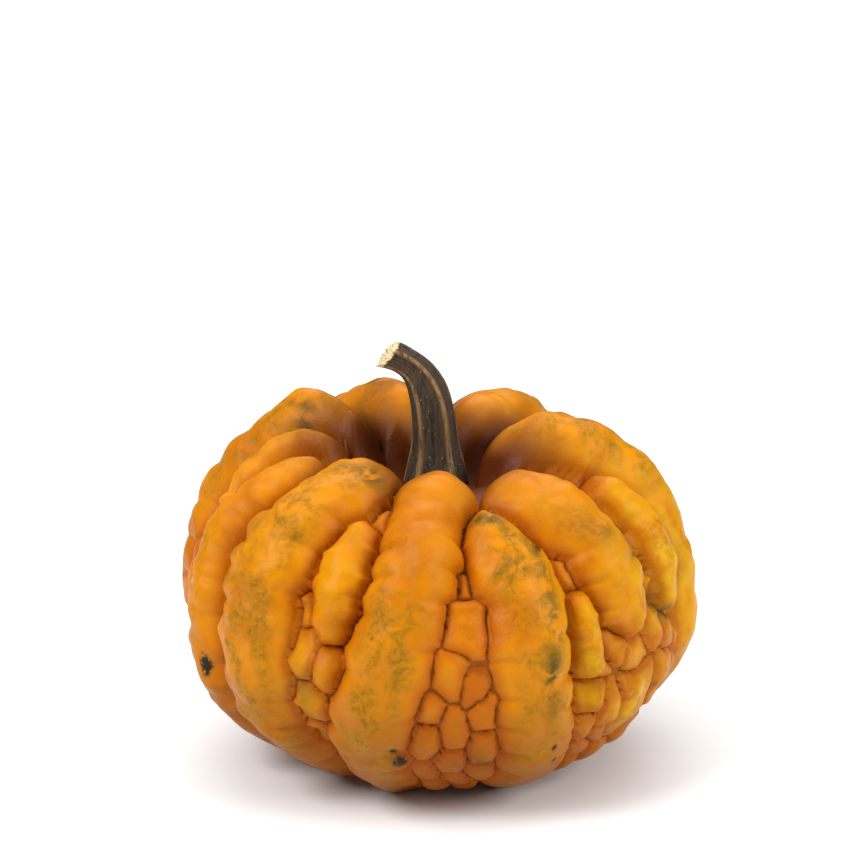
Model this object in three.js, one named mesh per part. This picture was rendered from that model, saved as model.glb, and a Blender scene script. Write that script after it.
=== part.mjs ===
// A whole winter squash: an orange, deeply lobed, warty fruit that rests on its underside,
// with its bent woody stem in the hollow on top.
// Millimetres, +Z up. The origin is in the middle of the resting plane and -Y is the front.
// Azimuths turn from the front towards +X, and polar angles go from the stem down.

import * as THREE from 'three';
import { mergeVertices } from 'three/addons/utils/BufferGeometryUtils.js';

// The furrow floor: an oblate round form that lobes and warts rise from.
const FLOOR_RADIUS = 69;
const FLOOR_HALF_HEIGHT = 46;
const SHOULDER_POWER = 0.9; // 1 gives an ellipse, less gives a boxier shoulder
const MERIDIAN_RADIUS = 60; // turns a step of polar angle into a length along the skin

// The hollows round the stem and round the blossom scar.
const STEM_HOLLOW_DEPTH = 14;
const STEM_HOLLOW_RADIUS = 20;
const SEAT_LEVEL = 35.8; // flat seat of the stem, above the widest level
const BLOSSOM_HOLLOW_DEPTH = 7;
const BLOSSOM_HOLLOW_RADIUS = 22;
const BLOSSOM_SCAR_RADIUS = 9;
const BLOSSOM_SCAR_RISE = 4;

// How the fruit lies: its axis, and the level where its underside is pressed flat.
const AXIS_X = -0.174;
const AXIS_Y = -0.637;
const CENTRE_HEIGHT = 49.5;

// The lobes' edges swell and nip in as knuckles do, and their crests roll gently.
const KNUCKLE_LENGTH = 13;
const KNUCKLE_DEPTH = 0.18; // share of the half width that a lobe nips in between two knuckles
const KNUCKLE_DIP = 0.2; // share of the height that a lobe's flank sinks there
const KNUCKLE_WANDER = 0.35; // how far the knuckles stray from an even spacing, in knuckles
const KNUCKLE_FADE = [4, 15]; // degrees from the tip where the knuckles start, and over which they grow
const CREST_ROLL = 0.045;

// Warts fill the furrows between lobes in rows of pillow-shaped cells.
const WART_WIDTH = 8.6;
const WART_ROW = 13.2;
const WART_RISE = 2.4;
const WART_ROUNDING = 4.5;
const WART_CORNER_POWER = 3.2; // 2 gives oval warts, more gives brick-like ones
const FIRST_WART_ROW = 40;
const LAST_WART_ROW = 154;
const NARROWEST_WART_GAP = 3.5;
const RAISED_FLOOR = 6.2; // how far the floor of a wide furrow lies above the floor of a tight crease
const WIDE_FURROW = 16;
const RAISED_FLOOR_START = [34, 16]; // degrees where the raised floor starts, and over which it grows
const BARE_FLOOR_SCORE = -3;

// Each lobe's line over the fruit, read at five even stations of polar angle.
const FIRST_STATION = 35;
const LAST_STATION = 135;
const FOOT = 156; // where the long lobes end beside the blossom scar
const LOBES = [
  // Front lobe, under the bend of the stem.
  { azimuth: [-3, -5.5, -11, -16.5, -18], halfWidth: [11.5, 12.8, 12.6, 11.8, 10.5], height: [11, 12.5, 10.5],
    ends: [33, FOOT] },
  // Short lobe to the right of it, and the finger beside that.
  { azimuth: [14, 20.5, 22.5, 24, 28], halfWidth: [8, 13, 12.4, 11.5, 10], height: [9, 11.5, 10.5],
    ends: [48, FOOT] },
  { azimuth: [33, 35, 37.5, 38, 38], halfWidth: [5, 5.5, 6, 6, 6], height: [8, 8, 8], ends: [74, 92] },
  // Broad thumb at the right shoulder, the lump under its end, and the finger beside it.
  { azimuth: [41, 48, 50.5, 52, 53], halfWidth: [18, 12.7, 10.5, 10, 10], height: [12.5, 10.5, 9.5],
    ends: [41, 77] },
  { azimuth: [52, 53, 54, 55, 55], halfWidth: [8, 8, 8, 8, 8], height: [8, 8.5, 7.5], ends: [102, 116] },
  { azimuth: [70, 72, 70, 70, 70], halfWidth: [6, 7.5, 6.5, 6, 6], height: [13, 10, 8.5], ends: [46, 82] },
  // Right side and back, five long lobes.
  { azimuth: [94, 92, 86, 84, 84], halfWidth: [15, 10.5, 10.5, 11, 10], height: [18, 11.5, 8.5],
    ends: [25, FOOT] },
  { azimuth: [117, 116, 115, 115, 115], halfWidth: [9, 11, 12, 11, 10], height: [10, 11.5, 10.5],
    ends: [46, FOOT] },
  { azimuth: [150, 147, 145, 146, 146], halfWidth: [14, 13.5, 13, 12, 10], height: [18, 12, 10.5],
    ends: [25, FOOT] },
  { azimuth: [181, 180, 179, 178, 178], halfWidth: [9, 11.5, 12, 11.5, 10], height: [12, 11.5, 10.5],
    ends: [40, FOOT] },
  { azimuth: [210, 212, 215, 216, 216], halfWidth: [15, 14, 13.5, 12, 10], height: [21, 12, 10.5],
    ends: [25, FOOT] },
  // Left side, three long lobes, with a finger between the first two at the shoulder.
  { azimuth: [-114, -107, -102, -100, -102], halfWidth: [12.5, 13, 13.5, 12, 10], height: [22, 12.5, 10.5],
    ends: [28, FOOT] },
  { azimuth: [-91, -86, -86, -86, -86], halfWidth: [6, 6, 5, 5, 5], height: [14, 9, 8], ends: [28, 57] },
  { azimuth: [-74, -72, -69, -68, -68], halfWidth: [8.8, 8.8, 10, 10.5, 10], height: [12.5, 12, 9.5],
    ends: [38, FOOT] },
  { azimuth: [-41, -48.5, -47.5, -46, -41.5], halfWidth: [14, 15, 15, 13.6, 12], height: [13, 12.5, 9],
    ends: [33, FOOT] },
  // Finger in the furrow to the left of the front lobe.
  { azimuth: [-24, -26, -25, -25, -25], halfWidth: [4.5, 8, 6, 6, 6], height: [8, 9, 8], ends: [47, 76] },
];

// The stem: a five-ridged stalk on a flared foot, bent over to the left and cut at a slant.
const SEAT_GAP = 0.3;
const STEM_BEND = [[-0.5, 0, 0], [-0.5, 0, 26], [-2, -0.5, 38], [-15.5, -1, 41.4]]; // from the seat up
const STEM_RADII = [10.4, 7.8, 7, 6.4, 5.4, 4.7, 4.9]; // over the ridges, at even steps from foot to cut
const STEM_RIDGES = 5;
const STEM_RIDGE_DEPTH = 0.2;
const STEM_RIDGE_TURN = 35; // degrees that one ridge stands away from the front
const STEM_CUT_SLANT = 0.4;
const STEM_CUT_LENGTH = 0.25; // share of the stem over which the slant grows

// Fineness of the two meshes.
const FRUIT_DETAIL = 23;
const STEM_SIDES = 30;
const STEM_STEPS = 22;
const CREASE_REACH = 0.62; // share of a mesh step within which a vertex is drawn onto a crease

const radians = THREE.MathUtils.degToRad;
const smoothstep = THREE.MathUtils.smoothstep;
const clamp = THREE.MathUtils.clamp;

function draw(index) {
  const mixed = Math.sin(index * 12.9898 + 4.137) * 43758.5453;
  return mixed - Math.floor(mixed);
}

function turnBetween(from, to) {
  return THREE.MathUtils.euclideanModulo(to - from + Math.PI, 2 * Math.PI) - Math.PI;
}

function smoothThrough(values) {
  return new THREE.SplineCurve(values.map((value) => new THREE.Vector2(value, 0)));
}

// Radius and level of the furrow floor, and the outward direction that the skin rises in.
function floorAt(polar) {
  const sine = Math.max(Math.sin(polar), 0);
  const cosine = Math.cos(polar);
  const side = Math.sign(cosine);
  const radius = FLOOR_RADIUS * sine ** SHOULDER_POWER;
  let level = FLOOR_HALF_HEIGHT * side * Math.abs(cosine) ** SHOULDER_POWER;
  if (side > 0) {
    const sunk = level - STEM_HOLLOW_DEPTH * Math.exp(-((radius / STEM_HOLLOW_RADIUS) ** 2));
    level = Math.max(sunk, Math.min(SEAT_LEVEL, level));
  } else {
    level += BLOSSOM_HOLLOW_DEPTH * Math.exp(-((radius / BLOSSOM_HOLLOW_RADIUS) ** 2));
  }
  const outward = FLOOR_HALF_HEIGHT * sine ** (2 - SHOULDER_POWER);
  const upward = FLOOR_RADIUS * side * Math.abs(cosine) ** (2 - SHOULDER_POWER);
  const length = Math.hypot(outward, upward);
  return { radius, level, outward: outward / length, upward: upward / length };
}

const lobes = LOBES.map((lobe) => ({
  azimuth: smoothThrough(lobe.azimuth.map(radians)),
  halfWidth: smoothThrough(lobe.halfWidth),
  height: smoothThrough(lobe.height),
  ends: lobe.ends.map(radians),
  phase: lobe.azimuth[2],
}));

// Where a lobe's middle line is nearest to a polar angle, and how wide and high the lobe is there.
function lobeLine(lobe, polar) {
  const nearest = clamp(polar, lobe.ends[0], lobe.ends[1]);
  const first = radians(FIRST_STATION);
  const along = clamp((nearest - first) / (radians(LAST_STATION) - first), 0, 1);
  return {
    azimuth: lobe.azimuth.getPoint(along).x,
    halfWidth: lobe.halfWidth.getPoint(along).x,
    height: lobe.height.getPoint(along).x,
    nearest,
    beyond: (nearest - polar) * MERIDIAN_RADIUS,
  };
}

// A lobe's claim to a point of the floor: how far inside the lobe's edge the point lies.
function lobeClaim(lobe, azimuth, polar, radius) {
  const line = lobeLine(lobe, polar);
  const middleRadius = floorAt(line.nearest).radius;
  const across = 2 * Math.sin(turnBetween(line.azimuth, azimuth) / 2) * Math.sqrt(radius * middleRadius);
  const sidePhase = across > 0 ? 0.37 : 0;
  const wander = KNUCKLE_WANDER * Math.sin(polar * 5 + lobe.phase);
  const knuckle = (polar * MERIDIAN_RADIUS) / KNUCKLE_LENGTH + sidePhase + lobe.phase * 0.11 + wander;
  const nip = (1 - Math.abs(Math.sin(Math.PI * knuckle))) ** 2;
  const grown = clamp((polar - lobe.ends[0] - radians(KNUCKLE_FADE[0])) / radians(KNUCKLE_FADE[1]), 0, 1);
  const halfWidth = line.halfWidth * (1 + KNUCKLE_DEPTH * (0.35 - nip) * grown);
  const flank = smoothstep(Math.abs(across) / halfWidth, 0.2, 0.9);
  const roll = 1 + CREST_ROLL * Math.sin(7 * polar + 5 * lobe.phase);
  const height = line.height * roll * (1 - KNUCKLE_DIP * nip * grown * flank);
  return { score: halfWidth - Math.hypot(across, line.beyond), height, rounding: halfWidth };
}

// The warts, laid row by row in the gaps between neighbouring lobes.
function layWarts() {
  const warts = [];
  const rowStep = WART_ROW / MERIDIAN_RADIUS;
  for (let polar = radians(FIRST_WART_ROW); polar < radians(LAST_WART_ROW); polar += rowStep) {
    const radius = floorAt(polar).radius;
    const spans = lobes
      .map((lobe) => lobeLine(lobe, polar))
      .filter((line) => Math.abs(line.beyond) < line.halfWidth)
      .map((line) => ({
        middle: turnBetween(0, line.azimuth),
        half: Math.sqrt(line.halfWidth ** 2 - line.beyond ** 2) / radius,
      }))
      .sort((one, other) => one.middle - other.middle);
    spans.forEach((span, index) => {
      const next = spans[(index + 1) % spans.length];
      const start = span.middle + span.half;
      const gap = turnBetween(start, next.middle - next.half) * radius;
      const columns = gap < NARROWEST_WART_GAP ? 0 : Math.max(1, Math.round(gap / WART_WIDTH));
      for (let column = 0; column < columns; column += 1) {
        const seed = warts.length + 1;
        const share = (column + 0.5 + (draw(seed) - 0.5) * 0.3) / columns;
        const stagger = (column % 2 ? 0.25 : -0.25) + (draw(seed + 500) - 0.5) * 0.4;
        warts.push({
          azimuth: start + (gap / radius) * share,
          polar: polar + stagger * rowStep,
          halfWidth: (gap / columns) * 0.56,
          halfLength: WART_ROW * (0.45 + 0.15 * draw(seed + 1300)),
          size: 0.85 + 0.3 * draw(seed + 900),
        });
      }
    });
  }
  return warts;
}

const warts = layWarts();

function wartClaim(wart, azimuth, polar, radius) {
  const across = Math.abs(turnBetween(wart.azimuth, azimuth)) * radius;
  const along = (Math.abs(polar - wart.polar) * MERIDIAN_RADIUS * wart.halfWidth) / wart.halfLength;
  const distance = (across ** WART_CORNER_POWER + along ** WART_CORNER_POWER) ** (1 / WART_CORNER_POWER);
  return wart.halfWidth * wart.size - distance;
}

// Height of the skin over the furrow floor, and the distance to the nearest crease.
// Lobes and warts compete for each point, and the skin dips to the floor where two claims are equal.
function reliefAt(azimuth, polar) {
  const radius = floorAt(polar).radius;
  let best = { score: BARE_FLOOR_SCORE, height: 0, rounding: 1 };
  let second = -Infinity;
  const compete = (claim) => {
    if (claim.score > best.score) {
      second = best.height > 0 ? best.score : second;
      best = claim;
    } else {
      second = Math.max(second, claim.score);
    }
  };
  const lobeClaims = lobes.map((lobe) => lobeClaim(lobe, azimuth, polar, radius));
  lobeClaims.forEach(compete);
  const scores = lobeClaims.map((claim) => claim.score).sort((one, other) => other - one);
  const openness = smoothstep(-(scores[0] + scores[1]), 0, WIDE_FURROW);
  const started = clamp((polar - radians(RAISED_FLOOR_START[0])) / radians(RAISED_FLOOR_START[1]), 0, 1);
  const base = RAISED_FLOOR * openness * started;
  warts.forEach((wart) => {
    const score = wartClaim(wart, azimuth, polar, radius);
    compete({ score, height: base + WART_RISE * wart.size, rounding: WART_ROUNDING });
  });
  if (polar > Math.PI / 2) {
    const score = BLOSSOM_SCAR_RADIUS - radius;
    compete({ score, height: base + BLOSSOM_SCAR_RISE, rounding: WART_ROUNDING });
  }
  if (best.height === 0) {
    return { height: base, edge: 0 };
  }
  const edge = Math.max(0, Math.min((best.score - second) / 2, best.score - BARE_FLOOR_SCORE));
  const inward = 1 - Math.min(edge / best.rounding, 1);
  return { height: base + (best.height - base) * Math.sqrt(1 - inward ** 2), edge };
}

function anglesOf(direction) {
  return [Math.atan2(direction.x, -direction.y), Math.acos(clamp(direction.z, -1, 1))];
}

function edgeAt(direction) {
  return reliefAt(...anglesOf(direction.clone().normalize())).edge;
}

// Draws a direction onto the nearest crease if that is less than a mesh step away.
function onCrease(direction, meshStep) {
  const edge = edgeAt(direction);
  const reach = CREASE_REACH * meshStep;
  if (edge === 0 || edge > reach * FLOOR_RADIUS) {
    return direction;
  }
  const probe = 0.15 * meshStep;
  const sideways = new THREE.Vector3(0.3, 0.2, 0.93).cross(direction).normalize();
  const slope = new THREE.Vector3();
  [sideways, sideways.clone().cross(direction)].forEach((axis) => {
    const ahead = edgeAt(direction.clone().addScaledVector(axis, probe));
    const behind = edgeAt(direction.clone().addScaledVector(axis, -probe));
    slope.addScaledVector(axis, (ahead - behind) / (2 * probe));
  });
  const steepness = Math.max(slope.length(), 1e-9);
  const moved = direction.clone().addScaledVector(slope, -Math.min(edge / steepness, reach) / steepness).normalize();
  return edgeAt(moved) < edge ? moved : direction;
}

function closedMesh(geometry, name, material) {
  geometry.computeVertexNormals();
  const mesh = new THREE.Mesh(geometry, material);
  mesh.name = name;
  return mesh;
}

function positionsOnly(geometry) {
  geometry.deleteAttribute('normal');
  geometry.deleteAttribute('uv');
  return mergeVertices(geometry, 1e-4);
}

function makeFruit() {
  const geometry = positionsOnly(new THREE.IcosahedronGeometry(1, FRUIT_DETAIL));
  const meshStep = radians(63.4) / (FRUIT_DETAIL + 1);
  const position = geometry.getAttribute('position');
  const vertex = new THREE.Vector3();
  for (let index = 0; index < position.count; index += 1) {
    vertex.fromBufferAttribute(position, index).normalize();
    const [azimuth, polar] = anglesOf(onCrease(vertex.clone(), meshStep));
    const floor = floorAt(polar);
    const { height } = reliefAt(azimuth, polar);
    const radius = floor.radius + height * floor.outward;
    const level = Math.max(floor.level + height * floor.upward, -CENTRE_HEIGHT);
    position.setXYZ(index, radius * Math.sin(azimuth), -radius * Math.cos(azimuth), level);
  }
  const skin = new THREE.MeshStandardMaterial({ color: 0xd9821f, roughness: 0.42, metalness: 0 });
  return closedMesh(geometry, 'fruit', skin);
}

function makeStem() {
  const geometry = positionsOnly(new THREE.CylinderGeometry(1, 1, 1, STEM_SIDES, STEM_STEPS));
  const path = new THREE.CubicBezierCurve3(...STEM_BEND.map((point) => new THREE.Vector3(...point)));
  const radii = smoothThrough(STEM_RADII);
  const front = new THREE.Vector3(0, -1, 0);
  const position = geometry.getAttribute('position');
  const vertex = new THREE.Vector3();
  for (let index = 0; index < position.count; index += 1) {
    vertex.fromBufferAttribute(position, index);
    const along = clamp(vertex.y + 0.5, 0, 1);
    const angle = Math.atan2(vertex.x, vertex.z);
    const share = Math.hypot(vertex.x, vertex.z);
    const tangent = path.getTangent(along);
    const right = new THREE.Vector3().crossVectors(front, tangent).negate().normalize();
    const forward = new THREE.Vector3().crossVectors(tangent, right).negate();
    const ridge = 0.5 - 0.5 * Math.cos(STEM_RIDGES * (angle - radians(STEM_RIDGE_TURN)));
    const radius = share * radii.getPoint(along).x * (1 - STEM_RIDGE_DEPTH * ridge);
    const slant = STEM_CUT_SLANT * smoothstep(along, 1 - STEM_CUT_LENGTH, 1);
    const toRight = radius * Math.sin(angle);
    const point = path.getPoint(along);
    point.addScaledVector(right, toRight);
    point.addScaledVector(forward, radius * Math.cos(angle));
    point.addScaledVector(tangent, -slant * toRight);
    position.setXYZ(index, point.x, point.y, point.z);
  }
  const bark = new THREE.MeshStandardMaterial({ color: 0x55432a, roughness: 0.8, metalness: 0 });
  const stem = closedMesh(geometry, 'stem', bark);
  stem.position.set(0, 0, SEAT_LEVEL + SEAT_GAP);
  return stem;
}

const squash = new THREE.Group();
squash.position.set(AXIS_X, AXIS_Y, CENTRE_HEIGHT);
squash.add(makeFruit());
squash.add(makeStem());

const model = new THREE.Group();
model.add(squash);

export default model;
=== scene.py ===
import math

import bmesh
import bpy
import numpy as np
from mathutils import Euler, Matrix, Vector, noise


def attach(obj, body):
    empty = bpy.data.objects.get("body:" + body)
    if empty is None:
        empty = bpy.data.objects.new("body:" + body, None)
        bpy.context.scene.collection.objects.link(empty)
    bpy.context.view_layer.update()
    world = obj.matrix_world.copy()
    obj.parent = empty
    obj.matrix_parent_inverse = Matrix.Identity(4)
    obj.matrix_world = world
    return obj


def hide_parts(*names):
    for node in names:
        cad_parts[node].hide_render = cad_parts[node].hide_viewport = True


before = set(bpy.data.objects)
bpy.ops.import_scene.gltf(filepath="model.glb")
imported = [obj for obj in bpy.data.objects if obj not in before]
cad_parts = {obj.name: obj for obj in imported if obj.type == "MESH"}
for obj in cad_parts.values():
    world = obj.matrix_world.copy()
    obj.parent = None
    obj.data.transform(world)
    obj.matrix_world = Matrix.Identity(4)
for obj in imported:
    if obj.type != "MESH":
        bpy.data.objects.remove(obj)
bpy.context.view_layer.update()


# Fruit: the whole grown fruit, a waxy orange rind over firm flesh, in one piece. The rind swells into
# deep lobes and slim fingers, with rows of pillow-like warts in the furrows between them. It lies on the
# undersides of its lobes, which are pressed flat at one level.
MM = 0.001  # the form below is worked out in millimetres round the fruit's own centre
FLOOR_RADIUS = 69.0
FLOOR_HALF_HEIGHT = 46.0
SHOULDER_POWER = 0.9
MERIDIAN_RADIUS = 60.0
STEM_HOLLOW_DEPTH = 14.0
STEM_HOLLOW_RADIUS = 20.0
SEAT_LEVEL = 35.8
BLOSSOM_HOLLOW_DEPTH = 7.0
BLOSSOM_HOLLOW_RADIUS = 22.0
BLOSSOM_SCAR_RADIUS = 9.0
BLOSSOM_SCAR_RISE = 4.0
CENTRE = Vector((-0.174, -0.637, 49.5))

KNUCKLE_LENGTH = 13.0
KNUCKLE_DEPTH = 0.18  # share of the half width that a lobe nips in between two knuckles
KNUCKLE_SWELL = 0.35  # share of that depth that it swells out again at a knuckle
KNUCKLE_DIP = 0.2  # share of the height that a lobe's flank sinks between two knuckles
KNUCKLE_FLANK = (0.2, 0.9)  # shares of the half width between which that dip grows
KNUCKLE_WANDER = 0.35  # how far the knuckles stray from an even spacing, in knuckles
KNUCKLE_WANDER_TURNS = 5
KNUCKLE_SIDE_STEP = 0.37  # how far the two flanks of a lobe are out of step, in knuckles
KNUCKLE_LOBE_STEP = 0.11
KNUCKLE_FADE = (4, 15)  # degrees from the tip where the knuckles start, and over which they grow
CREST_ROLL = 0.045
CREST_ROLL_TURNS = 7
CREST_ROLL_LOBE_STEP = 5

WART_WIDTH = 8.6
WART_ROW = 13.2
WART_RISE = 2.8
WART_ROUNDING = 4.5
WART_CORNER_POWER = 3.2  # 2 gives oval warts, more gives brick-like ones
WART_FILL = 0.56  # half width of a wart as a share of its column
WART_LENGTHS = (0.45, 0.15)  # half length as a share of its row: the least, and the most that a draw adds
WART_SIZES = (0.85, 0.3)  # claim and rise of a wart: the least, and the most that a draw adds
WART_JITTER = 0.3
WART_STAGGER = 0.25
WART_STAGGER_JITTER = 0.4
STAGGER_DRAWS = 500
SIZE_DRAWS = 900
LENGTH_DRAWS = 1300
FIRST_WART_ROW = 40
LAST_WART_ROW = 154
NARROWEST_WART_GAP = 3.5
RAISED_FLOOR = 6.2  # how far the floor of a wide furrow lies above the floor of a tight crease
WIDE_FURROW = 16.0
RAISED_FLOOR_START = (34, 16)  # degrees where the raised floor starts, and over which it grows
BARE_FLOOR_SCORE = -3.0
FAR_OUTSIDE = -1e9

# Each lobe: azimuths and half widths at five even stations of polar angle, heights at three, and the
# two ends.
FIRST_STATION = 35
LAST_STATION = 135
FOOT = 156
LOBES = [
    # Front lobe, under the bend of the stem.
    ((-3, -5.5, -11, -16.5, -18), (11.5, 12.8, 12.6, 11.8, 10.5), (11, 12.5, 10.5), (33, FOOT)),
    # Short lobe to the right of it, and the finger beside that.
    ((14, 20.5, 22.5, 24, 28), (8, 13, 12.4, 11.5, 10), (9, 11.5, 10.5), (48, FOOT)),
    ((33, 35, 37.5, 38, 38), (5, 5.5, 6, 6, 6), (8, 8, 8), (74, 92)),
    # Broad thumb at the right shoulder, the lump under its end, and the finger beside it.
    ((41, 48, 50.5, 52, 53), (18, 12.7, 10.5, 10, 10), (12.5, 10.5, 9.5), (41, 77)),
    ((52, 53, 54, 55, 55), (8, 8, 8, 8, 8), (8, 8.5, 7.5), (102, 116)),
    ((70, 72, 70, 70, 70), (6, 7.5, 6.5, 6, 6), (13, 10, 8.5), (46, 82)),
    # Right side and back, five long lobes.
    ((94, 92, 86, 84, 84), (15, 10.5, 10.5, 11, 10), (18, 11.5, 8.5), (25, FOOT)),
    ((117, 116, 115, 115, 115), (9, 11, 12, 11, 10), (10, 11.5, 10.5), (46, FOOT)),
    ((150, 147, 145, 146, 146), (14, 13.5, 13, 12, 10), (18, 12, 10.5), (25, FOOT)),
    ((181, 180, 179, 178, 178), (9, 11.5, 12, 11.5, 10), (12, 11.5, 10.5), (40, FOOT)),
    ((210, 212, 215, 216, 216), (15, 14, 13.5, 12, 10), (21, 12, 10.5), (25, FOOT)),
    # Left side, three long lobes, with a finger between the first two at the shoulder.
    ((-114, -107, -102, -100, -102), (12.5, 13, 13.5, 12, 10), (22, 12.5, 10.5), (28, FOOT)),
    ((-91, -86, -86, -86, -86), (6, 6, 5, 5, 5), (14, 9, 8), (28, 57)),
    ((-74, -72, -69, -68, -68), (8.8, 8.8, 10, 10.5, 10), (12.5, 12, 9.5), (38, FOOT)),
    ((-41, -48.5, -47.5, -46, -41.5), (14, 15, 15, 13.6, 12), (13, 12.5, 9), (33, FOOT)),
    # Finger in the furrow to the left of the front lobe.
    ((-24, -26, -25, -25, -25), (4.5, 8, 6, 6, 6), (8, 9, 8), (47, 76)),
]


def draw(index):
    """A fixed draw from 0 to 1 for each index."""
    return math.sin(index * 12.9898 + 4.137) * 43758.5453 % 1.0


def turn_between(start, end):
    return (end - start + np.pi) % (2 * np.pi) - np.pi


def ramp(value, low, high):
    return np.clip((value - low) / (high - low), 0, 1)


def smooth_ramp(value, low, high):
    share = ramp(value, low, high)
    return share * share * (3 - 2 * share)


def smooth_through(values, share):
    """A smooth curve through evenly spaced values, read at a share from 0 to 1."""
    values = np.asarray(values, float)
    last = len(values) - 1
    place = np.clip(share, 0, 1) * last
    step = np.minimum(np.floor(place).astype(int), last - 1)
    part = place - step
    start, end = values[step], values[step + 1]
    slope_in = (end - values[np.maximum(step - 1, 0)]) / 2
    slope_out = (values[np.minimum(step + 2, last)] - start) / 2
    cubic = 2 * start - 2 * end + slope_in + slope_out
    square = 3 * end - 3 * start - 2 * slope_in - slope_out
    return ((cubic * part + square) * part + slope_in) * part + start


def floor_at(polar):
    """Radius and level of the furrow floor, and the outward direction that the rind rises in."""
    sine = np.maximum(np.sin(polar), 0)
    cosine = np.cos(polar)
    side = np.sign(cosine)
    radius = FLOOR_RADIUS * sine ** SHOULDER_POWER
    plain = FLOOR_HALF_HEIGHT * side * np.abs(cosine) ** SHOULDER_POWER
    sunk = plain - STEM_HOLLOW_DEPTH * np.exp(-((radius / STEM_HOLLOW_RADIUS) ** 2))
    upper = np.maximum(sunk, np.minimum(SEAT_LEVEL, plain))
    lower = plain + BLOSSOM_HOLLOW_DEPTH * np.exp(-((radius / BLOSSOM_HOLLOW_RADIUS) ** 2))
    outward = FLOOR_HALF_HEIGHT * sine ** (2 - SHOULDER_POWER)
    upward = FLOOR_RADIUS * side * np.abs(cosine) ** (2 - SHOULDER_POWER)
    length = np.hypot(outward, upward)
    return radius, np.where(side > 0, upper, lower), outward / length, upward / length


def lobe_line(lobe, polar):
    """The point of a lobe's middle line nearest to a polar angle, with the half width and height there."""
    azimuths, half_widths, heights, ends = lobe
    nearest = np.clip(polar, math.radians(ends[0]), math.radians(ends[1]))
    first = math.radians(FIRST_STATION)
    along = (nearest - first) / (math.radians(LAST_STATION) - first)
    azimuth = smooth_through(np.radians(azimuths), along)
    half_width = smooth_through(half_widths, along)
    return azimuth, half_width, smooth_through(heights, along), nearest


def lobe_claim(lobe, azimuth, polar, radius):
    """A lobe's claim to each point: how far inside its edge that lies, with the height and rounding there."""
    middle, half_width, height, nearest = lobe_line(lobe, polar)
    phase = lobe[0][2]
    across = 2 * np.sin(turn_between(middle, azimuth) / 2) * np.sqrt(radius * floor_at(nearest)[0])
    wander = KNUCKLE_WANDER * np.sin(polar * KNUCKLE_WANDER_TURNS + phase)
    side_step = np.where(across > 0, KNUCKLE_SIDE_STEP, 0)
    knuckle = polar * MERIDIAN_RADIUS / KNUCKLE_LENGTH + side_step + phase * KNUCKLE_LOBE_STEP + wander
    nip = (1 - np.abs(np.sin(np.pi * knuckle))) ** 2
    start = math.radians(lobe[3][0] + KNUCKLE_FADE[0])
    grown = ramp(polar, start, start + math.radians(KNUCKLE_FADE[1]))
    half_width = half_width * (1 + KNUCKLE_DEPTH * (KNUCKLE_SWELL - nip) * grown)
    flank = smooth_ramp(np.abs(across) / half_width, *KNUCKLE_FLANK)
    roll = 1 + CREST_ROLL * np.sin(CREST_ROLL_TURNS * polar + CREST_ROLL_LOBE_STEP * phase)
    height = height * roll * (1 - KNUCKLE_DIP * nip * grown * flank)
    beyond = (nearest - polar) * MERIDIAN_RADIUS
    return half_width - np.hypot(across, beyond), height, half_width


def lay_warts():
    """The warts, laid row by row in the gaps between neighbouring lobes."""
    warts = []
    row_step = WART_ROW / MERIDIAN_RADIUS
    polar = math.radians(FIRST_WART_ROW)
    while polar < math.radians(LAST_WART_ROW):
        radius = floor_at(polar)[0]
        spans = []
        for lobe in LOBES:
            azimuth, half_width, _, nearest = lobe_line(lobe, polar)
            beyond = (nearest - polar) * MERIDIAN_RADIUS
            if abs(beyond) < half_width:
                spans.append((turn_between(0, azimuth), math.sqrt(half_width ** 2 - beyond ** 2) / radius))
        spans.sort()
        for index, (middle, half) in enumerate(spans):
            next_middle, next_half = spans[(index + 1) % len(spans)]
            gap = turn_between(middle + half, next_middle - next_half) * radius
            columns = 0 if gap < NARROWEST_WART_GAP else max(1, math.floor(gap / WART_WIDTH + 0.5))
            for column in range(columns):
                seed = len(warts) + 1
                share = (column + 0.5 + (draw(seed) - 0.5) * WART_JITTER) / columns
                stagger = WART_STAGGER if column % 2 else -WART_STAGGER
                stagger += (draw(seed + STAGGER_DRAWS) - 0.5) * WART_STAGGER_JITTER
                least_length, more_length = WART_LENGTHS
                least_size, more_size = WART_SIZES
                warts.append({
                    "azimuth": middle + half + gap / radius * share,
                    "polar": polar + stagger * row_step,
                    "half_width": gap / columns * WART_FILL,
                    "half_length": WART_ROW * (least_length + more_length * draw(seed + LENGTH_DRAWS)),
                    "size": least_size + more_size * draw(seed + SIZE_DRAWS),
                })
        polar += row_step
    return warts


def wart_claim(wart, azimuth, polar, radius):
    across = np.abs(turn_between(wart["azimuth"], azimuth)) * radius
    along = np.abs(polar - wart["polar"]) * MERIDIAN_RADIUS * wart["half_width"] / wart["half_length"]
    distance = (across ** WART_CORNER_POWER + along ** WART_CORNER_POWER) ** (1 / WART_CORNER_POWER)
    return wart["half_width"] * wart["size"] - distance


WARTS = lay_warts()


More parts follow.
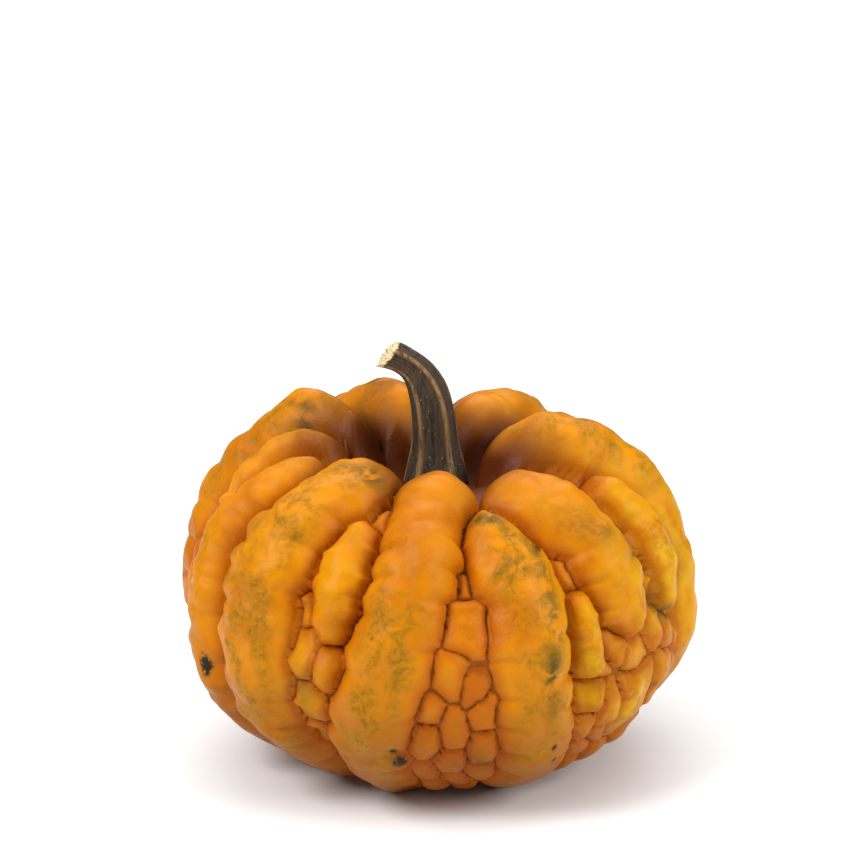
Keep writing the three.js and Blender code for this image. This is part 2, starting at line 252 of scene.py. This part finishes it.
def relief_at(azimuth, polar):
    """Height of the rind over the furrow floor, distance to the nearest crease, and what grows there.

    Lobes and warts compete for each point, and the rind dips to the floor where two claims are equal.
    Lobes count from 0, and warts and the blossom scar follow them. Bare floor is -1.
    """
    radius = floor_at(polar)[0]
    best = np.full(azimuth.shape, BARE_FLOOR_SCORE)
    second = np.full(azimuth.shape, FAR_OUTSIDE)
    winner = np.full(azimuth.shape, -1)
    top = np.zeros(azimuth.shape)
    rounding = np.ones(azimuth.shape)

    def compete(index, score, height, round_over):
        nonlocal best, second, winner, top, rounding
        better = score > best
        second = np.where(better, np.where(winner >= 0, best, second), np.maximum(second, score))
        best = np.where(better, score, best)
        winner = np.where(better, index, winner)
        top = np.where(better, height, top)
        rounding = np.where(better, round_over, rounding)

    nearest_lobe = np.full(azimuth.shape, FAR_OUTSIDE)
    next_lobe = np.full(azimuth.shape, FAR_OUTSIDE)
    for index, lobe in enumerate(LOBES):
        score, height, half_width = lobe_claim(lobe, azimuth, polar, radius)
        compete(index, score, height, half_width)
        next_lobe = np.maximum(next_lobe, np.minimum(nearest_lobe, score))
        nearest_lobe = np.maximum(nearest_lobe, score)
    started = ramp(polar, math.radians(RAISED_FLOOR_START[0]), math.radians(sum(RAISED_FLOOR_START)))
    base = RAISED_FLOOR * smooth_ramp(-(nearest_lobe + next_lobe), 0, WIDE_FURROW) * started
    for index, wart in enumerate(WARTS):
        score = wart_claim(wart, azimuth, polar, radius)
        compete(len(LOBES) + index, score, base + WART_RISE * wart["size"], WART_ROUNDING)
    scar = np.where(polar > math.pi / 2, BLOSSOM_SCAR_RADIUS - radius, FAR_OUTSIDE)
    compete(len(LOBES) + len(WARTS), scar, base + BLOSSOM_SCAR_RISE, WART_ROUNDING)

    edge = np.maximum(0, np.minimum((best - second) / 2, best - BARE_FLOOR_SCORE))
    edge = np.where(winner < 0, 0, edge)
    inward = 1 - np.minimum(edge / rounding, 1)
    height = base + np.where(winner < 0, 0, top - base) * np.sqrt(1 - inward ** 2)
    return height, edge, winner


def angles_of(directions):
    unit = directions / np.linalg.norm(directions, axis=1, keepdims=True)
    return np.arctan2(unit[:, 0], -unit[:, 1]), np.arccos(np.clip(unit[:, 2], -1, 1))


CREASE_REACH = 0.62  # share of a mesh step within which a vertex is drawn onto a crease
CREASE_PASSES = 2
PROBE_SHARE = 0.15  # share of a mesh step at which the slope towards a crease is felt
TILTED_AXIS = (0.3, 0.2, 0.93)  # lies along no vertex's own direction
FLATTEST_SLOPE = 1e-9


def drawn_to_creases(directions, mesh_step):
    """Directions moved onto the nearest crease where that is less than a mesh step away."""
    edges = relief_at(*angles_of(directions))[1]
    reach = CREASE_REACH * mesh_step
    near = (edges > 0) & (edges < reach * FLOOR_RADIUS)
    start = directions[near]
    sideways = np.cross(TILTED_AXIS, start)
    sideways /= np.linalg.norm(sideways, axis=1, keepdims=True)
    probe = PROBE_SHARE * mesh_step
    slope = np.zeros_like(start)
    for axis in (sideways, np.cross(sideways, start)):
        ahead = relief_at(*angles_of(start + probe * axis))[1]
        behind = relief_at(*angles_of(start - probe * axis))[1]
        slope += axis * ((ahead - behind) / (2 * probe))[:, None]
    steepness = np.maximum(np.linalg.norm(slope, axis=1), FLATTEST_SLOPE)
    moved = start - slope * (np.minimum(edges[near] / steepness, reach) / steepness)[:, None]
    moved /= np.linalg.norm(moved, axis=1, keepdims=True)
    closer = relief_at(*angles_of(moved))[1] < edges[near]
    result = directions.copy()
    result[near] = np.where(closer[:, None], moved, start)
    return result


GRID = 126
fruit_bm = bmesh.new()
bmesh.ops.create_cube(fruit_bm, size=2)
bmesh.ops.subdivide_edges(fruit_bm, edges=fruit_bm.edges[:], cuts=GRID - 1, use_grid_fill=True)
fruit_bm.verts.ensure_lookup_table()
cube = np.array([vertex.co for vertex in fruit_bm.verts])
ball = np.tan(cube * math.pi / 4)
ball /= np.linalg.norm(ball, axis=1, keepdims=True)
for _ in range(CREASE_PASSES):
    ball = drawn_to_creases(ball, math.pi / 2 / GRID)
azimuths, polars = angles_of(ball)
heights, edges, winners = relief_at(azimuths, polars)

# Soft dents and swellings that every lobe and wart has, fading out in the creases and on the underside.
LUMP_DEPTH = 2.8
LUMP_SIZE = 17.0
LUMP_LEVEL = 0.25  # about the mean of the noise, so that the rind keeps its size
FINE_LUMP_RATIO = 2.3
FINE_LUMP_SHARE = 0.4
LUMP_CREASE_FADE = 4.0
LUMP_UNDERSIDE_FADE = (112, 130)


def lumps_at(directions, pitch):
    return np.array([abs(noise.noise(Vector(way) * pitch)) for way in directions]) - LUMP_LEVEL


lump_pitch = FLOOR_RADIUS / LUMP_SIZE
lumps = lumps_at(ball, lump_pitch) + FINE_LUMP_SHARE * lumps_at(ball, lump_pitch * FINE_LUMP_RATIO)
faded = smooth_ramp(polars, *np.radians(LUMP_UNDERSIDE_FADE))
heights = heights + lumps * LUMP_DEPTH * ramp(edges, 0, LUMP_CREASE_FADE) * (1 - faded)

floor_radii, floor_levels, outwards, upwards = floor_at(polars)
radii = floor_radii + heights * outwards
levels = np.maximum(floor_levels + heights * upwards, -CENTRE.z)
places = np.stack([radii * np.sin(azimuths), -radii * np.cos(azimuths), levels], axis=1)
for vertex, place in zip(fruit_bm.verts, places):
    vertex.co = (Vector(place) + CENTRE) * MM
for face in fruit_bm.faces:
    face.smooth = True
bmesh.ops.recalc_face_normals(fruit_bm, faces=fruit_bm.faces[:])
fruit_mesh = bpy.data.meshes.new("squash_fruit")
fruit_bm.to_mesh(fruit_mesh)
fruit_bm.free()


def stains(spots):
    """A soft mask of spots: azimuth, polar angle, half sizes across and along in millimetres, strength."""
    mask = np.zeros(len(azimuths))
    for azimuth, polar, across, along, strength in spots:
        sideways = turn_between(math.radians(azimuth), azimuths) * floor_radii / across
        lengthways = (polars - math.radians(polar)) * MERIDIAN_RADIUS / along
        mask = np.maximum(mask, strength * np.exp(-sideways ** 2 - lengthways ** 2))
    return mask


DUSTY_SPOTS = [
    # Front lobe from its middle down, and the lobe to the left of it.
    (-10, 84, 14, 22, 1.0), (-15, 108, 13, 26, 1.0), (-46, 78, 15, 26, 1.0), (-44, 108, 13, 24, 1.0),
    (-42, 50, 14, 14, 0.9), (-38, 36, 14, 8, 0.8),
    # Short lobe and thumb on the right, then the lobes on the left, right and back.
    (20, 58, 14, 20, 1.0), (24, 100, 11, 30, 0.8), (40, 50, 10, 8, 0.5), (-108, 45, 24, 28, 1.0),
    (92, 38, 24, 22, 0.9), (147, 60, 16, 30, 0.9), (180, 80, 14, 30, 0.7), (-146, 75, 16, 32, 0.9),
    (-100, 95, 14, 25, 0.7), (115, 85, 14, 30, 0.8), (-70, 78, 9, 24, 0.5),
]
GREEN_SPOTS = [
    # Groove and tip of the short lobe.
    (26, 66, 2.5, 7, 0.8), (26, 76, 2.2, 8, 1.0), (25, 90, 2.6, 9, 1.0), (13, 42, 3, 3, 1.0),
    (17, 45, 3, 5, 0.9), (26, 54, 2, 4, 0.9), (19, 62, 4, 5, 0.6),
    # Tips of the lobes round the stem, and the groove along the left shoulder.
    (-31, 29, 5, 4, 1.0), (-39, 31, 4, 3, 0.7), (-100, 30, 5, 3, 0.9), (-97, 36, 2.5, 6, 0.9),
    (-96, 44, 2.5, 6, 0.8), (-150, 24, 6, 5, 0.7), (150, 40, 5, 10, 0.5),
    # Stains on the thumb and in the furrows of the right side, and low in the furrows of the front.
    (47, 55, 4, 5, 0.7), (54, 62, 3, 5, 0.7), (61, 68, 3, 6, 0.9), (62, 80, 3, 5, 1.0),
    (66, 86, 4, 3, 0.9), (78, 72, 2.5, 8, 0.7), (10, 118, 5, 4, 0.7), (-32, 98, 4, 8, 0.5),
]
YELLOW_SPOTS = [
    # Right side, then the back and the furrow to the left of the front lobe.
    (72, 72, 26, 32, 1.0), (55, 72, 14, 20, 0.7), (92, 92, 20, 28, 1.0), (36, 90, 10, 22, 0.9),
    (55, 102, 20, 22, 1.0), (-168, 100, 14, 20, 0.6), (130, 95, 12, 22, 0.5), (-31, 92, 6, 14, 0.6),
    (-26, 60, 8, 14, 0.4),
]
SCAR_SPOTS = [
    # Left side, front and short lobes, and a few at the back and on the right.
    (-64, 99, 1.5, 3.8, 1.0), (-72, 107, 1.3, 1.6, 1.0), (-52, 103, 1.0, 2.2, 0.8),
    (-10, 112, 1.4, 2.0, 0.8), (-9, 117, 2.0, 2.6, 1.0), (27.5, 54, 1.4, 2.6, 0.7),
    (28, 113, 0.8, 1.6, 0.8), (29, 118, 0.8, 1.4, 0.8), (-14, 79, 1.0, 1.0, 0.5),
    (160, 70, 1.6, 3.0, 0.8), (-120, 80, 1.4, 2.0, 0.8), (100, 60, 1.2, 1.8, 0.7),
]

# Half widths in millimetres of the painted shade line along each crease, between lobes and between warts.
SHADE_LINE_BETWEEN_LOBES = 0.8
SHADE_LINE_BETWEEN_WARTS = 0.6
SHADE_LINE_CORE = 0.1  # share of the line that is fully dark
CREASE_LIMIT = 12.0
# Polar angles over which painted shade darkens the rind towards its underside.
UNDERSIDE_SHADE_POLARS = (82, 122)
# Polar angles over which painted shade fills the creases round the stem hollow.
HOLLOW_SHADE_POLARS = (14, 44)
TONE_DRAWS = 70
is_wart = (winners >= len(LOBES)) | (winners < 0)
shade_line_widths = np.where(is_wart, SHADE_LINE_BETWEEN_WARTS, SHADE_LINE_BETWEEN_LOBES)
tone_draws = [draw(index + TONE_DRAWS) for index in range(-1, len(LOBES) + len(WARTS) + 1)]
for name, values in (
    ("crease", np.minimum(edges, CREASE_LIMIT)),
    # painted shade line along each crease
    ("line", 1 - smooth_ramp(edges / shade_line_widths, SHADE_LINE_CORE, 1)),
    ("tone", np.array(tone_draws)[winners + 1]),
    ("dusty", stains(DUSTY_SPOTS)),
    ("green", stains(GREEN_SPOTS)),
    ("yellow", stains(YELLOW_SPOTS)),
    ("scar", stains(SCAR_SPOTS)),
    # painted shade, darker towards the underside
    ("underside_shade", smooth_ramp(polars, *np.radians(UNDERSIDE_SHADE_POLARS))),
    # painted shade in the creases round the stem hollow
    ("hollow_shade", 1 - smooth_ramp(polars, *np.radians(HOLLOW_SHADE_POLARS))),
):
    layer = fruit_mesh.attributes.new(name, "FLOAT", "POINT")
    layer.data.foreach_set("value", values.astype(np.float32))


def add_node(tree, kind, sockets, **settings):
    """A node with its settings, and each socket set to a value or linked to another node's output."""
    node = tree.nodes.new(kind)
    for setting, value in settings.items():
        setattr(node, setting, value)
    for socket, value in sockets.items():
        if isinstance(value, bpy.types.NodeSocket):
            tree.links.new(value, node.inputs[socket])
        else:
            node.inputs[socket].default_value = value
    return node


def read_layer(tree, name):
    return add_node(tree, "ShaderNodeAttribute", {}, attribute_name=name).outputs["Fac"]


def smooth_mask(tree, value, start, full):
    """A mask that is 0 where the value is at its start, and grows smoothly to 1 where it is full."""
    sockets = {"Value": value, "From Min": start, "From Max": full}
    return add_node(tree, "ShaderNodeMapRange", sockets, interpolation_type="SMOOTHSTEP").outputs["Result"]


def multiply(tree, first, second):
    return add_node(tree, "ShaderNodeMath", {0: first, 1: second}, operation="MULTIPLY").outputs[0]


def paint_over(tree, below, colour, mask, strength=1.0):
    """The colour below, covered by another one where the mask says, up to a strength."""
    sockets = {0: multiply(tree, mask, strength), 6: below, 7: colour}
    return add_node(tree, "ShaderNodeMix", sockets, data_type="RGBA").outputs[2]


def texture_noise(tree, place, scale, detail, roughness=0.55, distortion=0.0):
    sockets = {"Vector": place, "Scale": scale, "Detail": detail}
    sockets.update({"Roughness": roughness, "Distortion": distortion})
    return add_node(tree, "ShaderNodeTexNoise", sockets).outputs["Fac"]


BRIGHT_ORANGE = (0.64, 0.232, 0.001, 1)
DEEP_ORANGE = (0.47, 0.130, 0.001, 1)
# Redder, darker orange for the flanks by the creases: partly the rind's own colour there, partly painted
# crease shade.
FURROW_RED_AND_SHADE = (0.38, 0.075, 0.001, 1)
# Painted shade for the lower side of the rind.
UNDERSIDE_SHADE_ORANGE = (0.30, 0.080, 0.001, 1)
TAN = (0.37, 0.155, 0.003, 1)
OLIVE = (0.165, 0.078, 0.002, 1)
YELLOW = (0.60, 0.325, 0.002, 1)
LEAF_GREEN = (0.040, 0.046, 0.004, 1)
# Painted shade, for the dark lines in the creases and deep in the creases round the stem hollow.
CREASE_SHADE_BROWN = (0.085, 0.016, 0.002, 1)
SCAR_BROWN = (0.022, 0.015, 0.006, 1)
PALE_PORE = (0.66, 0.34, 0.04, 1)

rind = bpy.data.materials.new("waxy_orange_rind")
rind.use_nodes = True
tree = rind.node_tree
skin_shader = tree.nodes["Principled BSDF"]
here = add_node(tree, "ShaderNodeTexCoord", {}).outputs["Object"]
broad = texture_noise(tree, here, scale=48, detail=3)
blotch = texture_noise(tree, here, scale=150, detail=5, roughness=0.62, distortion=0.5)
freckle = texture_noise(tree, here, scale=620, detail=4, roughness=0.65)
grain = texture_noise(tree, here, scale=1900, detail=2)
pores = add_node(tree, "ShaderNodeTexVoronoi", {"Vector": here, "Scale": 520.0}).outputs["Distance"]
crease = read_layer(tree, "crease")

# Orange that deepens in broad patches and from lobe to lobe, painted shade darker towards the underside, and
# yellow patches.
colour = paint_over(tree, BRIGHT_ORANGE, DEEP_ORANGE, smooth_mask(tree, broad, start=0.42, full=0.66))
colour = paint_over(tree, colour, DEEP_ORANGE, read_layer(tree, "tone"), strength=0.55)
# Painted shade: the rind grows darker towards its underside.
colour = paint_over(tree, colour, UNDERSIDE_SHADE_ORANGE, read_layer(tree, "underside_shade"))
yellow = multiply(tree, read_layer(tree, "yellow"), smooth_mask(tree, blotch, start=0.30, full=0.62))
colour = paint_over(tree, colour, YELLOW, yellow)

# Tan bloom and olive speckles on the crests.
dust = multiply(tree, read_layer(tree, "dusty"), smooth_mask(tree, crease, start=1.5, full=7.0))
bloom = multiply(tree, dust, smooth_mask(tree, blotch, start=0.34, full=0.62))
colour = paint_over(tree, colour, TAN, bloom)
olive_patch = smooth_mask(tree, blotch, start=0.40, full=0.70)
olive_grain = smooth_mask(tree, freckle, start=0.42, full=0.58)
olive = multiply(tree, dust, multiply(tree, olive_patch, olive_grain))
colour = paint_over(tree, colour, OLIVE, olive, strength=0.85)
stray_patch = smooth_mask(tree, broad, start=0.56, full=0.72)
stray_grain = smooth_mask(tree, freckle, start=0.46, full=0.66)
colour = paint_over(tree, colour, OLIVE, multiply(tree, stray_patch, stray_grain), strength=0.4)

# Flanks redder and darker towards every crease, partly the rind's own colour and partly painted shade; green
# stains;
# pale pores; painted shade lines along the creases and painted shade deep in the creases round the stem
# hollow; dark healed scars.
# Partly the rind's own redder flanks, partly painted shade darkening towards every crease.
colour = paint_over(tree, colour, FURROW_RED_AND_SHADE, smooth_mask(tree, crease, start=3.5, full=0.2), strength=0.7)
green = multiply(tree, read_layer(tree, "green"), smooth_mask(tree, blotch, start=0.36, full=0.56))
colour = paint_over(tree, colour, LEAF_GREEN, green, strength=0.9)
pore_dots = smooth_mask(tree, pores, start=0.16, full=0.04)
pore_patch = smooth_mask(tree, broad, start=0.40, full=0.60)
colour = paint_over(tree, colour, PALE_PORE, multiply(tree, pore_dots, pore_patch), strength=0.35)
# Painted shade: a thin dark line along each crease.
crease_shade = smooth_mask(tree, read_layer(tree, "line"), start=0.45, full=1.0)
colour = paint_over(tree, colour, CREASE_SHADE_BROWN, crease_shade, strength=0.4)
# Painted shade deep in the creases round the stem hollow.
hollow_shade = multiply(tree, read_layer(tree, "hollow_shade"), smooth_mask(tree, crease, start=9.0, full=1.0))
colour = paint_over(tree, colour, CREASE_SHADE_BROWN, hollow_shade)
scar = multiply(tree, read_layer(tree, "scar"), smooth_mask(tree, freckle, start=0.30, full=0.50))
colour = paint_over(tree, colour, SCAR_BROWN, smooth_mask(tree, scar, start=0.15, full=0.6))
tree.links.new(colour, skin_shader.inputs["Base Color"])

OLIVE_DULLING = 0.25
gloss_range = {"Value": blotch, "From Min": 0.3, "From Max": 0.7, "To Min": 0.32, "To Max": 0.48}
gloss = add_node(tree, "ShaderNodeMapRange", gloss_range).outputs["Result"]
dulled = {0: olive, 1: OLIVE_DULLING, 2: gloss}
matte = add_node(tree, "ShaderNodeMath", dulled, operation="MULTIPLY_ADD").outputs[0]
tree.links.new(matte, skin_shader.inputs["Roughness"])
dents = add_node(tree, "ShaderNodeBump", {"Height": blotch, "Strength": 0.35, "Distance": 0.0012})
pits = add_node(tree, "ShaderNodeBump", {"Height": grain, "Strength": 0.25, "Distance": 0.0003})
tree.links.new(dents.outputs["Normal"], pits.inputs["Normal"])
tree.links.new(pits.outputs["Normal"], skin_shader.inputs["Normal"])
skin_shader.inputs["Specular IOR Level"].default_value = 0.1

fruit = bpy.data.objects.new("squash_fruit", fruit_mesh)
bpy.context.scene.collection.objects.link(fruit)
fruit_mesh.materials.append(rind)
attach(fruit, "root")
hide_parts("fruit")


# Stem: the dry stalk that the fruit hung from, corky and five-ridged, dark olive brown with tan ridges.
# It grows out of the seat in the hollow on a flared foot, bends over to the left and ends in a frayed,
# slanting cut.
SEAT_GAP = 0.3
STEM_BEND = ((-0.5, 0, 0), (-0.5, 0, 26), (-2, -0.5, 38), (-15.5, -1, 41.4))
STEM_RADII = (10.4, 7.8, 7, 6.4, 5.4, 4.7, 4.9)
STEM_RIDGES = 5
STEM_RIDGE_DEPTH = 0.2
STEM_RIDGE_TURN = math.radians(35)
STEM_CUT_SLANT = 0.4
STEM_CUT_LENGTH = 0.25
STEM_SIDES = 150
STEM_STEPS = 130
GROOVE_POWER = 1.3
STEM_FIBRES = ((23, 6, 1.0), (41, -9, 0.6), (67, 15, 0.4))  # number round the stem, twist and share
FIBRE_DEPTH = 0.0175
CUT_RINGS = 8
CUT_RING_STEP = 0.11
FRAY_DEPTH = 2.0
FRAY_START = 0.96  # share of the stem's length
FRAY_PITCH = 5.4
FRAY_LAYER = 7

stem_bm = bmesh.new()
bmesh.ops.create_cone(stem_bm, cap_ends=True, segments=STEM_SIDES, radius1=1, radius2=1, depth=1)
uprights = [edge for edge in stem_bm.edges if abs(edge.verts[0].co.z - edge.verts[1].co.z) > 0.5]
bmesh.ops.subdivide_edges(stem_bm, edges=uprights, cuts=STEM_STEPS - 1, use_grid_fill=True)
for _ in range(CUT_RINGS):
    cut_face = max(stem_bm.faces, key=lambda face: (len(face.verts), face.calc_center_median().z))
    bmesh.ops.inset_region(stem_bm, faces=[cut_face], thickness=CUT_RING_STEP, use_even_offset=True)
stem_places = np.array([vertex.co for vertex in stem_bm.verts])
along = np.clip(stem_places[:, 2] + 0.5, 0, 1)
angle = np.arctan2(stem_places[:, 0], -stem_places[:, 1])
share = np.hypot(stem_places[:, 0], stem_places[:, 1])
foot, rise, bend, tip = (np.array(point, float) for point in STEM_BEND)
done = along[:, None]
left = 1 - done
line = left ** 3 * foot + 3 * left ** 2 * done * rise + 3 * left * done ** 2 * bend + done ** 3 * tip
tangent = left ** 2 * (rise - foot) + 2 * left * done * (bend - rise) + done ** 2 * (tip - bend)
tangent /= np.linalg.norm(tangent, axis=1, keepdims=True)
right = -np.cross((0, -1, 0), tangent)
right /= np.linalg.norm(right, axis=1, keepdims=True)
forward = -np.cross(tangent, right)
groove = np.abs(np.sin(STEM_RIDGES * (angle - STEM_RIDGE_TURN) / 2)) ** GROOVE_POWER
fibre = sum(part * np.sin(number * angle + twist * along) for number, twist, part in STEM_FIBRES)
relief = 1 - STEM_RIDGE_DEPTH * groove + FIBRE_DEPTH * fibre
reach = share * smooth_through(STEM_RADII, along) * relief
to_right = reach * np.sin(angle)
to_front = reach * np.cos(angle)
slant = STEM_CUT_SLANT * smooth_ramp(along, 1 - STEM_CUT_LENGTH, 1)
at_cut = smooth_ramp(along, FRAY_START, 1)
fray = np.array([noise.noise(Vector((x, y, FRAY_LAYER))) for x, y in stem_places[:, :2] * FRAY_PITCH])
push = -slant * to_right + FRAY_DEPTH * fray * at_cut
stem_places = line + right * to_right[:, None] + forward * to_front[:, None] + tangent * push[:, None]
stem_places[:, 2] = np.maximum(stem_places[:, 2], 0)
stem_seat = CENTRE + Vector((0, 0, SEAT_LEVEL + SEAT_GAP))
for vertex, place in zip(stem_bm.verts, stem_places):
    vertex.co = (Vector(place) + stem_seat) * MM
for face in stem_bm.faces:
    face.smooth = True
bmesh.ops.recalc_face_normals(stem_bm, faces=stem_bm.faces[:])
stem_mesh = bpy.data.meshes.new("squash_stem")
stem_bm.to_mesh(stem_mesh)
stem_bm.free()
for name, values in (("ridge", 1 - groove), ("cut", at_cut)):
    layer = stem_mesh.attributes.new(name, "FLOAT", "POINT")
    layer.data.foreach_set("value", values.astype(np.float32))

STALK_BROWN = (0.050, 0.026, 0.007, 1)
STALK_DARK = (0.012, 0.007, 0.003, 1)
RIDGE_TAN = (0.30, 0.155, 0.048, 1)
CUT_CREAM = (0.72, 0.56, 0.32, 1)
CUT_SHADOW = (0.25, 0.16, 0.07, 1)
LENTICEL = (0.42, 0.34, 0.22, 1)

cork = bpy.data.materials.new("dry_corky_stalk")
cork.use_nodes = True
tree = cork.node_tree
cork_shader = tree.nodes["Principled BSDF"]
here = add_node(tree, "ShaderNodeTexCoord", {}).outputs["Object"]
streaked = add_node(tree, "ShaderNodeMapping", {"Vector": here, "Scale": (1.0, 1.0, 0.16)}).outputs["Vector"]
strands = texture_noise(tree, streaked, scale=900, detail=4, roughness=0.6)
mottle = texture_noise(tree, here, scale=260, detail=4, roughness=0.6)
specks = add_node(tree, "ShaderNodeTexVoronoi", {"Vector": here, "Scale": 900.0}).outputs["Distance"]
colour = paint_over(tree, STALK_BROWN, STALK_DARK, smooth_mask(tree, strands, start=0.45, full=0.62))
ridge_top = smooth_mask(tree, read_layer(tree, "ridge"), start=0.62, full=0.97)
ridge_strands = smooth_mask(tree, strands, start=0.30, full=0.62)
colour = paint_over(tree, colour, RIDGE_TAN, multiply(tree, ridge_top, ridge_strands), strength=0.9)
dots = smooth_mask(tree, specks, start=0.22, full=0.08)
dot_patch = smooth_mask(tree, mottle, start=0.48, full=0.60)
colour = paint_over(tree, colour, LENTICEL, multiply(tree, dots, dot_patch), strength=0.8)
cut_colour = paint_over(tree, CUT_CREAM, CUT_SHADOW, smooth_mask(tree, strands, start=0.52, full=0.68))
cut = smooth_mask(tree, read_layer(tree, "cut"), start=0.15, full=0.75)
colour = paint_over(tree, colour, cut_colour, cut)
tree.links.new(colour, cork_shader.inputs["Base Color"])
dryness_range = {"Value": mottle, "To Min": 0.62, "To Max": 0.92}
dryness = add_node(tree, "ShaderNodeMapRange", dryness_range).outputs["Result"]
tree.links.new(dryness, cork_shader.inputs["Roughness"])
strand_bump = add_node(tree, "ShaderNodeBump", {"Height": strands, "Strength": 0.6, "Distance": 0.0008})
tree.links.new(strand_bump.outputs["Normal"], cork_shader.inputs["Normal"])

stem = bpy.data.objects.new("squash_stem", stem_mesh)
bpy.context.scene.collection.objects.link(stem)
stem_mesh.materials.append(cork)
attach(stem, "root")
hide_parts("stem")


# Floor: a wide, plain, pale sheet of matte studio paper that the fruit rests on.
# It lies a hair below the resting level, so that the two faces stay apart.
FLOOR_HALF_WIDTH = 6.0
FLOOR_DROP = 0.0002
PAPER_PALE = (0.865, 0.885, 0.89, 1)
PAPER_PALER = (0.88, 0.90, 0.905, 1)
floor_bm = bmesh.new()
bmesh.ops.create_grid(floor_bm, x_segments=1, y_segments=1, size=FLOOR_HALF_WIDTH)
bmesh.ops.translate(floor_bm, vec=(0, 0, -FLOOR_DROP), verts=floor_bm.verts[:])
floor_mesh = bpy.data.meshes.new("studio_floor")
floor_bm.to_mesh(floor_mesh)
floor_bm.free()
paper = bpy.data.materials.new("pale_studio_paper")
paper.use_nodes = True
tree = paper.node_tree
paper_shader = tree.nodes["Principled BSDF"]
here = add_node(tree, "ShaderNodeTexCoord", {}).outputs["Object"]
paper_tone = texture_noise(tree, here, scale=3, detail=2)
colour = paint_over(tree, PAPER_PALE, PAPER_PALER, paper_tone)
tree.links.new(colour, paper_shader.inputs["Base Color"])
paper_shader.inputs["Roughness"].default_value = 0.9
paper_shader.inputs["Specular IOR Level"].default_value = 0.1
floor = bpy.data.objects.new("studio_floor", floor_mesh)
bpy.context.scene.collection.objects.link(floor)
floor_mesh.materials.append(paper)


# Studio light: one large soft box high on the left of the front, a weak one on the right, and two wide ones
# overhead and behind that bring the floor to white, in a dim white room.
ROOM_STRENGTH = 0.18
SOFT_BOXES = (
    # Place, point aimed at, size in metres, power in watts.
    ((-0.80, -0.55, 0.95), (0, 0, 0.05), 0.60, 13.5),
    ((0.95, -0.45, 0.65), (0, 0, 0.05), 0.60, 9.0),
    ((0.00, 0.40, 2.40), (0, 0.40, 0), 4.0, 66.0),
    ((0.00, 2.00, 1.90), (0, 1.80, 0), 2.0, 26.0),
)
room = bpy.data.worlds.new("white_room")
room.use_nodes = True
room.node_tree.nodes["Background"].inputs["Color"].default_value = (1, 1, 1, 1)
room.node_tree.nodes["Background"].inputs["Strength"].default_value = ROOM_STRENGTH
bpy.context.scene.world = room
for number, (place, aim, size, power) in enumerate(SOFT_BOXES):
    lamp = bpy.data.lights.new(f"soft_box_{number}", "AREA")
    lamp.size = size
    lamp.energy = power
    holder = bpy.data.objects.new(f"soft_box_{number}", lamp)
    holder.location = place
    holder.rotation_euler = (Vector(aim) - Vector(place)).to_track_quat("-Z", "Y").to_euler()
    bpy.context.scene.collection.objects.link(holder)
bpy.context.scene.view_settings.view_transform = "Standard"


# Camera: a long lens from the front, a little above, with the fruit low in the picture as in the photograph.
# It is set by the pixel that shows the fruit's centre and by the real size of a pixel there.
IMAGE_SIZE = 855
FRUIT_PIXEL = (438, 595)
LENS_DISTANCE = 0.9
LOOK_DOWN = math.radians(19)
METRES_PER_PIXEL = 0.0003125
SENSOR_WIDTH = 36
focal_pixels = LENS_DISTANCE / METRES_PER_PIXEL
drop_angle = math.atan((FRUIT_PIXEL[1] - IMAGE_SIZE / 2) / focal_pixels)
side_angle = math.atan((FRUIT_PIXEL[0] - IMAGE_SIZE / 2) / focal_pixels)
lens = bpy.data.cameras.new("photo_camera")
lens.sensor_width = SENSOR_WIDTH
lens.lens = focal_pixels / IMAGE_SIZE * lens.sensor_width
camera = bpy.data.objects.new("photo_camera", lens)
camera.location = CENTRE * MM + LENS_DISTANCE * Vector((0, -math.cos(LOOK_DOWN), math.sin(LOOK_DOWN)))
camera.rotation_euler = Euler((math.pi / 2 - LOOK_DOWN + drop_angle, 0, side_angle))
bpy.context.scene.collection.objects.link(camera)
bpy.context.scene.camera = camera
